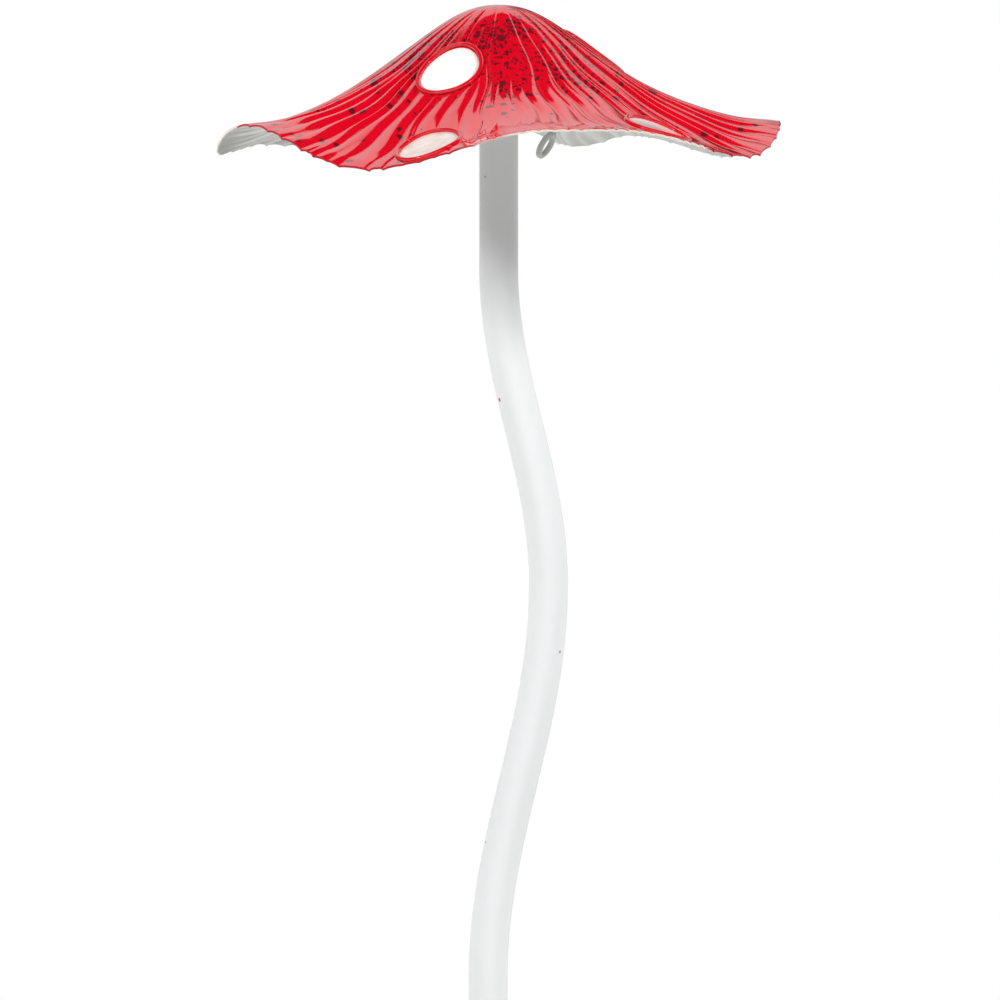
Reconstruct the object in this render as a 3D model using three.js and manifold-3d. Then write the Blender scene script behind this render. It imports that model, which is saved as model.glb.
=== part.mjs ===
// Mushroom garden stake: a cap pressed from sheet steel on a wavy tube, held in the soil by a pointed spike.
// Millimetres, +Z up. The origin is on the lower stem's axis at the soil line, and the front looks along -Y.
import * as THREE from "three";
import { mergeVertices } from "three/addons/utils/BufferGeometryUtils.js";
import Module from "manifold-3d";

const wasm = await Module();
wasm.setup();

const degree = Math.PI / 180;

// Fits: what is welded keeps a hairline seat, what turns or slides keeps a running gap.
const seatGap = 0.3;
const runningGap = 0.15;

// Spike, in the soil below the origin.
const spikeDiameter = 8;
const spikeLength = 180;
const spikePointLength = 30;
const spikeTipDiameter = 1.5;
const spikeSocketDepth = 30;

// Sleeve on the spike's top. Its collar rests on the soil and carries the tube.
const collarHeight = 6;
const spigotLength = 42;
const sleeveChamfer = 1;
const sleeveTopThickness = 4;

// Stem tube and the course of its centre line: straight, out to the bulge, back to the cap's axis, straight.
const tubeDiameter = 16;
const tubeWall = 1.2;
const tubeLength = 536;
const lowerBendHeight = 158;
const bulgeHeight = 321;
const upperBendHeight = 452;
const bulgeOffset = 24.9;
const capAxisOffset = 4.4;

// Plug in the tube's upper end, with the washer, nut and stud that hold the cap.
const plugLength = 22;
const plugFlange = 2;
const studDiameter = 6;
const studReach = 14;
const studHeadDiameter = 13;
const studHeadHeight = 2.5;
const studTipChamfer = 0.8;
const washerDiameter = 12;
const washerThickness = 1.6;
const nutAcrossFlats = 10;
const nutHeight = 5;
const nutCornerChamfer = 0.6;
const plateDiameter = 40;
const plateThickness = 2;

// Cap sheet. Its side view is a bell: it drops slowly at the crown, fast at the shoulder, slowly at the brim.
const capDiameter = 232.6;
const sheetThickness = 1;
const bellDepth = 60.5;
const shoulderRadius = 56;
const bellPower = 2.2;

// The brim's waves: how far its edge drops below the crown's top where it is highest and where it is lowest,
// and its turning points, as direction from +X and share of the way from the highest to the lowest.
const brimHighDrop = 47;
const brimLowDrop = 64.6;
const brimTurns = [
  { direction: 4, share: 0.14 },
  { direction: 36, share: 1 },
  { direction: 62, share: 0.57 },
  { direction: 73.5, share: 0.85 },
  { direction: 94, share: 0.06 },
  { direction: 138, share: 0.76 },
  { direction: 148, share: 0.7 },
  { direction: 172, share: 0.83 },
  { direction: 209, share: 0 },
  { direction: 241.5, share: 0.93 },
  { direction: 281, share: 0 },
  { direction: 293, share: 0.01 },
  { direction: 333, share: 0.73 },
];
const waveStartRadius = 42;
const wavePower = 1.7;

// Creases pressed into the sheet, which arches between them: long ones from the crown to the brim, and as many
// short ones between them on the brim.
const longCreases = 32;
const creaseDepth = 1.2;
const longCreaseStart = 18;
const longCreaseFull = 90;
const shortCreaseStart = 52;
const shortCreaseFull = 100;

// Spots, each ringed by a bead. The crown is drawn deepest, which stretches its spots along the slope.
const spotDiameter = 25;
const beadWidth = 2.2;
const beadHeight = 1.2;
const crownStretch = 1.02;
const crownSpots = [
  { radius: 42.5, direction: 26 },
  { radius: 47, direction: 128 },
  { radius: 47.7, direction: 245 },
];
const brimSpots = [
  { radius: 94, direction: 47 },
  { radius: 92, direction: 103 },
  { radius: 100.5, direction: 253.5 },
  { radius: 95, direction: 313.5 },
];

// Wire eye welded under the brim. It leans outwards and is turned most of the way edge-on to the front.
const eyeRadius = 5.6;
const eyeWire = 2.5;
const eyeInset = 15.3;
const eyeDirection = 79;
const eyeLean = 30 * degree;
const eyeTurn = 70 * degree;

// Fineness of the round shapes.
const sidesPerCrease = 2;
const capRings = 13;
const beadSides = 5;
const beadSteps = 18;
const tubeSides = 20;
const tubeSteps = 32;
const wireSides = 8;
const roundSides = 24;
const cutOvershoot = 1;

const painted = (colour, roughness = 0.35) =>
  new THREE.MeshStandardMaterial({ color: colour, roughness, metalness: 0.1 });
const bareSteel = () =>
  new THREE.MeshStandardMaterial({ color: 0xb9bcc0, roughness: 0.35, metalness: 1 });

// Helpers for closed shapes.

function weld(geometry) {
  const plain = geometry.clone();
  plain.deleteAttribute("normal");
  plain.deleteAttribute("uv");
  return mergeVertices(plain, 1e-4);
}

function solidOf(geometry) {
  const welded = weld(geometry);
  return new wasm.Manifold(
    new wasm.Mesh({
      numProp: 3,
      vertProperties: new Float32Array(welded.attributes.position.array),
      triVerts: new Uint32Array(welded.index.array),
    }),
  );
}

function geometryOf(solid) {
  const mesh = solid.getMesh();
  const geometry = new THREE.BufferGeometry();
  geometry.setAttribute("position", new THREE.BufferAttribute(mesh.vertProperties, 3));
  geometry.setIndex(new THREE.BufferAttribute(mesh.triVerts, 1));
  const faceted = geometry.toNonIndexed();
  faceted.computeVertexNormals();
  return faceted;
}

// A turned piece: its outline is a list of [radius, height] pairs from the axis or closed on itself.
function turned(outline, sides = roundSides) {
  const points = outline.map(([radius, height]) => new THREE.Vector2(radius, height));
  return new THREE.LatheGeometry(points, sides).rotateX(90 * degree);
}

function named(name, geometry, material) {
  const mesh = new THREE.Mesh(geometry, material);
  mesh.name = name;
  return mesh;
}

function groupAt(x, z, ...children) {
  const group = new THREE.Group();
  group.position.set(x, 0, z);
  group.add(...children);
  return group;
}

const smooth = (t) => (1 - Math.cos(Math.PI * THREE.MathUtils.clamp(t, 0, 1))) / 2;
const ramp = (value, from, to) => smooth((value - from) / (to - from));

// Form of the cap's outer face, as a height above or below the crown's top.

const capRadius = capDiameter / 2;
const creasePitch = (360 * degree) / (2 * longCreases);
const capSides = 2 * longCreases * sidesPerCrease;
const ringRadii = Array.from({ length: capRings + 1 }, (_, ring) => (capRadius * ring) / capRings);

function bellDrop(radius) {
  const t = (radius / shoulderRadius) ** bellPower;
  return (bellDepth * t) / (1 + t);
}

function brimDrop(angle) {
  const first = brimTurns[0].direction;
  const direction = first + THREE.MathUtils.euclideanModulo(angle / degree - first, 360);
  const next = brimTurns.findIndex((turn) => turn.direction > direction);
  const from = brimTurns.at(next < 0 ? -1 : next - 1);
  const to = next < 0 ? { ...brimTurns[0], direction: first + 360 } : brimTurns[next];
  const share = from.share + (to.share - from.share) * ramp(direction, from.direction, to.direction);
  return brimHighDrop + (brimLowDrop - brimHighDrop) * share;
}

function waveHeight(radius, angle) {
  const t = THREE.MathUtils.clamp((radius - waveStartRadius) / (capRadius - waveStartRadius), 0, 1);
  return (bellDrop(capRadius) - brimDrop(angle)) * t ** wavePower;
}

const pressedHeight = (radius, angle) => waveHeight(radius, angle) - bellDrop(radius);

// Creases lie at whole numbers of the pitch, and those at odd numbers are the long ones.
function pleatLift(radius, angle) {
  const pitches = angle / creasePitch;
  const nearest = Math.round(pitches);
  const long = ramp(radius, longCreaseStart, longCreaseFull);
  const short = ramp(radius, shortCreaseStart, shortCreaseFull);
  const depth = creaseDepth * (nearest % 2 === 0 ? short : long);
  return (creaseDepth / 2) * long - depth * (1 - 2 * Math.abs(pitches - nearest)) ** 2;
}

const spots = [
  ...crownSpots.map((spot) => ({ ...spot, stretch: crownStretch })),
  ...brimSpots.map((spot) => ({ ...spot, stretch: 1 })),
];

// Creases stop at the bead of a spot.
function outsideSpots(radius, angle) {
  const clear = spotDiameter / 2 + beadWidth;
  return spots.every((spot) => {
    const turn = angle - spot.direction * degree;
    const along = (radius * Math.cos(turn) - spot.radius) / spot.stretch;
    return Math.hypot(along, radius * Math.sin(turn)) > clear;
  });
}

function capHeight(radius, angle) {
  const pleat = outsideSpots(radius, angle) ? pleatLift(radius, angle) : 0;
  return pressedHeight(radius, angle) + pleat;
}

const polar = (radius, angle, height) =>
  new THREE.Vector3(radius * Math.cos(angle), radius * Math.sin(angle), height);

// Direction out of a formed face, from two short steps along it.
function normalOf(heightAt, radius, angle) {
  const step = 0.5;
  const along = polar(radius + step, angle, heightAt(radius + step, angle));
  along.sub(polar(radius, angle, heightAt(radius, angle)));
  const side = angle + step / Math.max(radius, step);
  const across = polar(radius, side, heightAt(radius, side));
  across.sub(polar(radius, angle, heightAt(radius, angle)));
  return along.cross(across).normalize();
}

// A point of the sheet: the depth is counted inwards from the outer face.
function sheetPoint(radius, angle, depth) {
  const outer = polar(radius, angle, capHeight(radius, angle));
  if (depth === 0) return outer;
  if (radius === 0) return outer.setZ(outer.z - depth);
  return outer.addScaledVector(normalOf(pressedHeight, radius, angle), -depth);
}

// Cap: a flat round blank, pressed to the form above, with a bead laid round each spot.

function flatBlank() {
  const lower = ringRadii.map((radius) => [radius, 0]);
  const upper = ringRadii.map((radius) => [radius, sheetThickness]);
  return weld(turned([...lower, ...upper.reverse()], capSides));
}

function pressBlank(blank) {
  const place = blank.attributes.position;
  for (let i = 0; i < place.count; i += 1) {
    const radius = Math.hypot(place.getX(i), place.getY(i));
    const angle = Math.atan2(place.getY(i), place.getX(i));
    const depth = place.getZ(i) > sheetThickness / 2 ? 0 : sheetThickness;
    const formed = sheetPoint(radius < 1 ? 0 : radius, angle, depth);
    place.setXYZ(i, formed.x, formed.y, formed.z);
  }
  return blank;
}

function beadRound(spot) {
  const centre = spotDiameter / 2 + beadWidth / 2;
  const bead = weld(new THREE.TorusGeometry(centre, beadWidth / 2, beadSides, beadSteps));
  const place = bead.attributes.position;
  const angle = spot.direction * degree;
  const slope = normalOf(pressedHeight, spot.radius, angle).z;
  for (let i = 0; i < place.count; i += 1) {
    const radius = spot.radius + place.getX(i) * slope * spot.stretch;
    const turn = angle + place.getY(i) / spot.radius;
    const rise = Math.max((place.getZ(i) * beadHeight) / (beadWidth / 2), -sheetThickness / 2);
    const formed = polar(radius, turn, pressedHeight(radius, turn));
    formed.addScaledVector(normalOf(pressedHeight, radius, turn), rise);
    place.setXYZ(i, formed.x, formed.y, formed.z);
  }
  return bead;
}

function capShell() {
  let sheet = solidOf(pressBlank(flatBlank()));
  for (const spot of spots) sheet = sheet.add(solidOf(beadRound(spot)));
  return geometryOf(sheet);
}

const sheet = new THREE.Mesh(capShell(), new THREE.MeshBasicMaterial({ side: THREE.DoubleSide }));

// How far a shape placed below the cap can rise before it touches the sheet's inner face.
function roomAbove(shape) {
  const place = shape.attributes.position;
  const ray = new THREE.Raycaster();
  let room = Infinity;
  for (let i = 0; i < place.count; i += 1) {
    ray.set(new THREE.Vector3().fromBufferAttribute(place, i), new THREE.Vector3(0, 0, 1));
    const [nearest] = ray.intersectObject(sheet);
    if (nearest) room = Math.min(room, nearest.distance);
  }
  return room;
}

// Lifts a shape from below the brim until it sits under the sheet.
function seatUnderCap(shape) {
  shape.translate(0, 0, -capDiameter);
  return shape.translate(0, 0, roomAbove(weld(shape)) - seatGap);
}

// Eye: a wire ring whose top is welded to the sheet's inner face.
function hangingEye() {
  const angle = eyeDirection * degree;
  const ring = new THREE.TorusGeometry(eyeRadius, eyeWire / 2, wireSides, roundSides);
  ring.rotateX(90 * degree);
  ring.rotateZ(eyeTurn);
  ring.rotateY(eyeLean);
  const seat = polar(capRadius - eyeInset, angle, 0);
  return seatUnderCap(ring.translate(seat.x, seat.y, 0));
}

// Plate: a ring that fills the crown's hollow from wall to wall.
const crownPlate = () => seatUnderCap(ringPlate(plateDiameter / 2, studHole, plateThickness));

const boreRadius = tubeDiameter / 2 - tubeWall;
const studHole = studDiameter / 2 + seatGap;

// Course of the stem's centre line.
class StemLine extends THREE.Curve {
  getPoint(t, target = new THREE.Vector3()) {
    const height = collarHeight + runningGap + t * tubeLength;
    return target.set(stemOffset(height), 0, height);
  }
}

function stemOffset(height) {
  const out = bulgeOffset * ramp(height, lowerBendHeight, bulgeHeight);
  const back = (capAxisOffset - bulgeOffset) * ramp(height, bulgeHeight, upperBendHeight);
  return out + back;
}

function stemTube() {
  const section = new THREE.Shape().absarc(0, 0, tubeDiameter / 2, 0, 360 * degree);
  section.holes.push(new THREE.Path().absarc(0, 0, boreRadius, 0, 360 * degree, true));
  return new THREE.ExtrudeGeometry(section, {
    steps: tubeSteps,
    curveSegments: tubeSides / 2,
    extrudePath: new StemLine(),
  });
}

// Turned pieces, each measured from the face that seats it.

function groundSpike() {
  const radius = spikeDiameter / 2;
  return turned([
    [0, -spikeLength],
    [spikeTipDiameter / 2, -spikeLength],
    [radius, spikePointLength - spikeLength],
    [radius, spikeSocketDepth],
    [0, spikeSocketDepth],
  ]);
}

function spigotSleeve() {
  const spigot = boreRadius - seatGap;
  const socket = spikeDiameter / 2 + seatGap;
  const ceiling = spikeSocketDepth + seatGap;
  const top = Math.max(collarHeight + spigotLength, ceiling + sleeveTopThickness);
  return turned([
    [0, ceiling],
    [socket, ceiling],
    [socket, 0],
    [tubeDiameter / 2, 0],
    [tubeDiameter / 2, collarHeight],
    [spigot, collarHeight],
    [spigot, top - sleeveChamfer],
    [spigot - sleeveChamfer, top],
    [0, top],
  ]);
}

function stemPlug() {
  const body = boreRadius - seatGap;
  return turned([
    [studHole, -plugLength],
    [body, -plugLength],
    [body, 0],
    [tubeDiameter / 2, 0],
    [tubeDiameter / 2, plugFlange],
    [studHole, plugFlange],
    [studHole, -plugLength],
  ]);
}

function ringPlate(outer, inner, thickness) {
  return turned([
    [inner, 0],
    [outer, 0],
    [outer, thickness],
    [inner, thickness],
    [inner, 0],
  ]);
}

function capStud() {
  const radius = studDiameter / 2;
  const head = studHeadDiameter / 2;
  const tip = -studLength;
  return turned([
    [0, tip],
    [radius - studTipChamfer, tip],
    [radius, tip + studTipChamfer],
    [radius, 0],
    [head, 0],
    [head, studHeadHeight],
    [0, studHeadHeight],
  ]);
}

// A hexagon bar with its corners turned off at both ends, and the stud's hole through it.
function lockNut() {
  const corner = nutAcrossFlats / 2 / Math.cos(30 * degree);
  const bar = new THREE.CylinderGeometry(corner, corner, nutHeight, 6).rotateX(90 * degree);
  bar.translate(0, 0, nutHeight / 2);
  const face = corner - nutCornerChamfer;
  const waist = corner + nutCornerChamfer;
  const rounded = turned([
    [0, 0],
    [face, 0],
    [waist, nutCornerChamfer],
    [waist, nutHeight - nutCornerChamfer],
    [face, nutHeight],
    [0, nutHeight],
  ]);
  const hole = turned([
    [0, -cutOvershoot],
    [studHole, -cutOvershoot],
    [studHole, nutHeight + cutOvershoot],
    [0, nutHeight + cutOvershoot],
  ]);
  return geometryOf(solidOf(bar).intersect(solidOf(rounded)).subtract(solidOf(hole)));
}

// Heights of the pieces that stack up from the collar to the crown.
const tubeTop = collarHeight + runningGap + tubeLength;
const washerBase = tubeTop + plugFlange;
const nutBase = washerBase + washerThickness + runningGap;
const plateBase = nutBase + nutHeight + runningGap;
const studLength = plateBase + plateThickness - washerBase + studReach;

const plateShape = crownPlate();
plateShape.computeBoundingBox();
const capTop = plateBase - plateShape.boundingBox.min.z;

const white = 0xf2f2f0;
const shell = named("cap_shell", sheet.geometry, painted(0xe30a24, 0.18));
const eye = named("hanging_eye", hangingEye(), painted(0xb9bab6));
const plate = named("crown_plate", plateShape, painted(white));
const stud = named("cap_stud", capStud(), bareSteel());
const nut = named("lock_nut", lockNut(), bareSteel());
const washer = named("lock_washer", ringPlate(washerDiameter / 2, studHole, washerThickness), bareSteel());
const plug = named("stem_plug", stemPlug(), bareSteel());
const tube = named("stem_tube", stemTube(), painted(white));
const sleeve = named("spigot_sleeve", spigotSleeve(), bareSteel());
const spike = named("ground_spike", groundSpike(), bareSteel());

const stake = new THREE.Group();
stake.add(
  spike,
  sleeve,
  tube,
  groupAt(capAxisOffset, tubeTop, plug),
  groupAt(capAxisOffset, washerBase, washer),
  groupAt(capAxisOffset, nutBase, nut),
  groupAt(capAxisOffset, plateBase + plateThickness, stud),
  groupAt(capAxisOffset, capTop, shell, plate, eye),
);

export default stake;
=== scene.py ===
# Garden stake shaped as a toadstool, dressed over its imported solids.
# Metres, +Z up; the front looks along -Y and the origin is where the stem meets the soil.
import math
import random

import bmesh
import bpy
from mathutils import Matrix, Vector


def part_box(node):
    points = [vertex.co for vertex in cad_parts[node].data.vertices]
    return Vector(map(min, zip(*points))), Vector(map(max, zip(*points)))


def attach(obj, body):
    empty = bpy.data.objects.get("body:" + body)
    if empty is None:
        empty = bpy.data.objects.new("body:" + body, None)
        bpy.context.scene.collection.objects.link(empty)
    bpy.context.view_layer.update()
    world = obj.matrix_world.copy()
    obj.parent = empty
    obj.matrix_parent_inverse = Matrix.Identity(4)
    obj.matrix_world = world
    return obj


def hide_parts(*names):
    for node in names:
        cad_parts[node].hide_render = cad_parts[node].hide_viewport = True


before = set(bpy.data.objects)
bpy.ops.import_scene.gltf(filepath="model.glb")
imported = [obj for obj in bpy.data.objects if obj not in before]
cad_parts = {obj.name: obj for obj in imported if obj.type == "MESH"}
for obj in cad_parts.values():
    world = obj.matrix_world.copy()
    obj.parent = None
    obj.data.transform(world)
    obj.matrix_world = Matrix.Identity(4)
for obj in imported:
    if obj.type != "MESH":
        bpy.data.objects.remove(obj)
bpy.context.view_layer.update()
scene = bpy.context.scene
mm = 0.001
degree = math.pi / 180


def toLinear(hexColour):
    channels = [int(hexColour[i:i + 2], 16) / 255 for i in (1, 3, 5)]
    return [c / 12.92 if c <= 0.04045 else ((c + 0.055) / 1.055) ** 2.4 for c in channels] + [1]


def addNode(tree, kind, inputs=None, **settings):
    # A kind without "Node" in it is a shader node. An input takes a value, a socket, or a node, which
    # stands for its first output in use.
    node = tree.nodes.new(kind if "Node" in kind else "ShaderNode" + kind)
    for name, value in settings.items():
        setattr(node, name, value)
    for name, value in (inputs or {}).items():
        if isinstance(value, bpy.types.Node):
            value = next(output for output in value.outputs if output.enabled)
        if isinstance(value, bpy.types.NodeSocket):
            tree.links.new(value, node.inputs[name])
        else:
            node.inputs[name].default_value = value
    return node


signs = {"+": "ADD", "-": "SUBTRACT", "*": "MULTIPLY", "/": "DIVIDE"}
mixes = {"MIX": ((0, 2, 3), "FLOAT"), "BLEND": ((0, 6, 7), "RGBA")}


def reckon(tree, known, steps):
    # Works through a list of (name, operation, terms). A term is an earlier name, a hex colour, a number,
    # a node or a socket. A range takes its value and limits, a mix its share and two numbers, and a blend
    # its share and two colours.
    for name, operation, *terms in steps:
        for i, term in enumerate(terms):
            if isinstance(term, str):
                terms[i] = toLinear(term) if term.startswith("#") else known[term]
        if operation in mixes:
            places, dataType = mixes[operation]
            known[name] = addNode(tree, "Mix", dict(zip(places, terms)), data_type=dataType)
        elif operation == "RANGE":
            known[name] = addNode(tree, "MapRange", dict(enumerate(terms)))
        else:
            word = signs.get(operation, operation)
            known[name] = addNode(tree, "Math", dict(enumerate(terms)), operation=word)
    return known


def blankMaterial(name):
    material = bpy.data.materials.new(name)
    material.use_nodes = True
    material.node_tree.nodes.clear()
    return material, material.node_tree


print("materials")

redLacquerLook = {
    "red": "#E2001E",
    "deepRed": "#CE001B",
    "poolScale": 120,
    "speck": "#6A0F1E",
    "enamel": "#FBFBF8",
    # painted shade and painted reflection of the red bead, streaked over the brim spots' enamel
    "paintedReflectEnamel": "#DCC2B6",
    "streakScale": 260,
    "enamelEdge": 0.12 * mm,
    "peelScale": 260,
    "gloss": 0.07,
    "coatGloss": 0.04,
    "coat": 0.8,
    "wobbleScale": 900,
    "wobbleReach": 0.9 * mm,
    "runDown": 0.62,  # on the steep crown the specks have run a little downwards
    "cloudScale": 55,
    "crownOffset": (-4.4 * mm, 9 * mm, 0),
    "crownReach": (20 * mm, 80 * mm),  # within the first the specks are thickest, beyond the second thinnest
    "specks": [  # cell in mm, widest speck in cells, share of cells with one on the crown and brim, soft edge
        {"cell": 1.3, "width": 0.66, "crown": 0.98, "brim": 0.12, "soft": 0.29},
        {"cell": 2.5, "width": 0.57, "crown": 0.78, "brim": 0.3, "soft": 0.21},
        {"cell": 5.2, "width": 0.42, "crown": 0.46, "brim": 0.58, "soft": 0.12},
    ],
}


def makeRedLacquer(look):
    # Clear red lacquer dipped over pressed steel: mirror-like, dark specks in its depth, white enamel spots.
    material, tree = blankMaterial("dippedRedLacquer")
    place = addNode(tree, "TexCoord").outputs["Object"]
    wobble = addNode(tree, "TexNoise", {"Vector": place, "Scale": look["wobbleScale"], "Detail": 2})
    shifted = addNode(tree, "VectorMath", {
        0: wobble.outputs["Color"], 1: (0.5, 0.5, 0.5)}, operation="SUBTRACT")
    pushed = addNode(tree, "VectorMath", {0: shifted, "Scale": look["wobbleReach"]}, operation="SCALE")
    moved = addNode(tree, "VectorMath", {0: place, 1: pushed}, operation="ADD")
    uneven = addNode(tree, "VectorMath", {0: moved, 1: (1, 1, look["runDown"])}, operation="MULTIPLY")

    # Specks gather in clouds, thickest round the crown.
    clouds = addNode(tree, "TexNoise", {
        "Vector": place, "Scale": look["cloudScale"], "Detail": 3, "Roughness": 0.6})
    crown = addNode(tree, "Mapping", {"Vector": place, "Location": look["crownOffset"]})
    flat = addNode(tree, "VectorMath", {0: crown, 1: (1, 1, 0)}, operation="MULTIPLY")
    reach = addNode(tree, "VectorMath", {0: flat}, operation="LENGTH")
    near, far = look["crownReach"]
    thick = addNode(tree, "MapRange", {0: reach, 1: near, 2: far, 3: 1, 4: 0}, interpolation_type="SMOOTHSTEP")
    known = reckon(tree, {"mask": 0.0}, [("drift", "RANGE", clouds, 0.3, 0.65, 0.35, 1.15)])
    for size in look["specks"]:
        cells = addNode(tree, "TexVoronoi", {"Vector": uneven, "Scale": 1 / (size["cell"] * mm)})
        chance = addNode(tree, "SeparateColor", {0: cells.outputs["Color"]})
        reckon(tree, known, [
            ("share", "RANGE", thick, 0, 1, size["brim"], size["crown"]),
            ("wanted", "*", "share", "drift"),
            ("room", "-", "wanted", chance),
            ("width", "RANGE", "room", 0, 0.4, 0, size["width"]),
            ("edge", "-", "width", cells.outputs["Distance"]),
            ("speck", "RANGE", "edge", 0, size["soft"]),
            ("mask", "MAXIMUM", "mask", "speck"),
        ])

    pool = addNode(tree, "TexNoise", {"Vector": place, "Scale": look["poolScale"], "Detail": 3})
    streak = addNode(tree, "TexNoise", {"Vector": place, "Scale": look["streakScale"], "Detail": 3})
    peel = addNode(tree, "TexNoise", {"Vector": place, "Scale": look["peelScale"], "Detail": 1})
    shown = addNode(tree, "Attribute", attribute_name="creaseShown").outputs["Fac"]
    spot = addNode(tree, "Attribute", attribute_name="spotEdge").outputs["Fac"]
    reckon(tree, known, [
        # The beads are wiped clean and the enamel covers its specks.
        ("wiped", "RANGE", shown, 0.05, 0.3),
        ("mask", "*", "mask", "wiped"),
        ("body", "BLEND", pool, look["red"], look["deepRed"]),
        ("specked", "BLEND", "mask", "body", look["speck"]),
        ("outside", "RANGE", spot, -look["enamelEdge"], look["enamelEdge"]),
        # On the brim spots, where the sheet's creases show in the enamel, it is painted pinkish grey in
        # streaks: painted shade and a painted reflection of the red bead.
        ("creaseInSpot", "RANGE", shown, 0, 0.15),
        ("mottle", "RANGE", streak, 0.3, 0.7, 0.55, 1),
        ("reflectHere", "*", "creaseInSpot", "mottle"),
        ("enamel", "BLEND", "reflectHere", look["enamel"], look["paintedReflectEnamel"]),
        ("colour", "BLEND", "outside", "enamel", "specked"),
        ("relief", "MULTIPLY_ADD", "mask", 0.5, peel),
    ])
    bump = addNode(tree, "Bump", {"Height": known["relief"], "Strength": 0.25, "Distance": 0.05 * mm})
    lacquer = addNode(tree, "BsdfPrincipled", {
        "Base Color": known["colour"], "Roughness": look["gloss"], "IOR": 1.5, "Coat Weight": look["coat"],
        "Coat Roughness": look["coatGloss"], "Coat IOR": 1.5, "Normal": bump})
    addNode(tree, "OutputMaterial", {0: lacquer})
    return material


dustLook = {"cell": 14 * mm, "scarce": 0.86, "width": 0.022, "colour": "#9A9A94"}


def makePaint(name, colour, mottle, roughness, grainSize, grainHeight, marks=(), run=None, paintedCreaseShade=None):
    # Sprayed paint: an even coat with a faint orange-peel skin, slightly duller patches and a little dust.
    material, tree = blankMaterial(name)
    place = addNode(tree, "TexCoord").outputs["Object"]
    patches = addNode(tree, "TexNoise", {"Vector": place, "Scale": 38, "Detail": 4})
    dust = addNode(tree, "TexVoronoi", {"Vector": place, "Scale": 1 / dustLook["cell"]})
    chance = addNode(tree, "SeparateColor", {0: dust.outputs["Color"]})
    known = reckon(tree, {}, [
        ("colour", "BLEND", patches, colour, mottle),
        ("nib", "RANGE", chance, dustLook["scarce"], 1, -0.01, dustLook["width"]),
        ("inNib", "LESS_THAN", dust.outputs["Distance"], "nib"),
        ("colour", "BLEND", "inNib", "colour", dustLook["colour"]),
        ("sheen", "RANGE", patches, 0, 1, roughness - 0.05, roughness + 0.07),
    ])
    for x, y, z, radius, fleckColour in marks:  # small flecks that the brush or the spray left
        gap = addNode(tree, "VectorMath", {0: place, 1: (x * mm, y * mm, z * mm)}, operation="DISTANCE")
        reckon(tree, known, [
            ("fleck", "RANGE", gap, radius * mm, radius * mm * 0.6),
            ("colour", "BLEND", "fleck", "colour", fleckColour),
        ])
    # Painted shade: the hollows of the creases are darkened towards the given colour.
    if paintedCreaseShade:
        crease = addNode(tree, "Attribute", attribute_name="creaseDrop").outputs["Fac"]
        ribbed = addNode(tree, "Attribute", attribute_name="creaseShown").outputs["Fac"]
        reckon(tree, known, [
            ("hollow", "RANGE", crease, paintedCreaseShade["shallow"], paintedCreaseShade["deep"]),
            ("shadedHollow", "*", "hollow", ribbed),
            ("colour", "BLEND", "shadedHollow", "colour", paintedCreaseShade["colour"]),
        ])
    if run:
        side = addNode(tree, "SeparateXYZ", {0: place}).outputs["X"]
        drift = addNode(tree, "TexNoise", {"Vector": place, "Scale": 90, "Detail": 2})
        middle = run["sway"] / 2
        again = run["again"] + middle
        reckon(tree, known, [
            ("uneven", "MULTIPLY_ADD", drift, run["sway"], side),
            ("covered", "RANGE", "uneven", run["from"] + middle, run["to"] + middle),
            ("reached", "GREATER_THAN", side, run["bareAgain"]),
            ("coated", "*", "covered", "reached"),
            ("again", "RANGE", "uneven", again - run["fade"], again + run["fade"]),
            ("either", "MAXIMUM", "coated", "again"),
            ("colour", "BLEND", "either", "colour", run["colour"]),
        ])
    skin = addNode(tree, "TexNoise", {"Vector": place, "Scale": 1 / (grainSize * mm), "Detail": 2})
    bump = addNode(tree, "Bump", {"Height": skin, "Strength": 0.4, "Distance": grainHeight * mm})
    paint = addNode(tree, "BsdfPrincipled", {
        "Base Color": known["colour"], "Roughness": known["sheen"], "IOR": 1.5, "Normal": bump})
    addNode(tree, "OutputMaterial", {0: paint})
    return material


def makeSteel(name, colour, dull, roughness, grain):
    # Zinc-plated steel: fine tool lines, round it where a lathe turned it and along it where a die drew it,
    # under a soft grey-blue bloom.
    material, tree = blankMaterial(name)
    place = addNode(tree, "TexCoord").outputs["Object"]
    # Real tool marks are about 0.15 mm apart; they are drawn wider so that they show.
    stretched = addNode(tree, "VectorMath", {0: place, 1: grain}, operation="MULTIPLY")
    rings = addNode(tree, "TexNoise", {"Vector": stretched, "Scale": 1, "Detail": 3})
    bloom = addNode(tree, "TexNoise", {"Vector": place, "Scale": 140, "Detail": 4})
    known = reckon(tree, {}, [
        ("patchy", "*", bloom, rings),
        ("cloudy", "RANGE", "patchy", 0.12, 0.4),
        ("tint", "BLEND", "cloudy", colour, dull),
        ("sheen", "RANGE", rings, 0, 1, roughness - 0.1, roughness + 0.12),
    ])
    bump = addNode(tree, "Bump", {"Height": rings, "Strength": 0.35, "Distance": 0.04 * mm})
    steel = addNode(tree, "BsdfPrincipled", {
        "Base Color": known["tint"], "Metallic": 1, "Roughness": known["sheen"], "Normal": bump})
    addNode(tree, "OutputMaterial", {0: steel})
    return material


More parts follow.
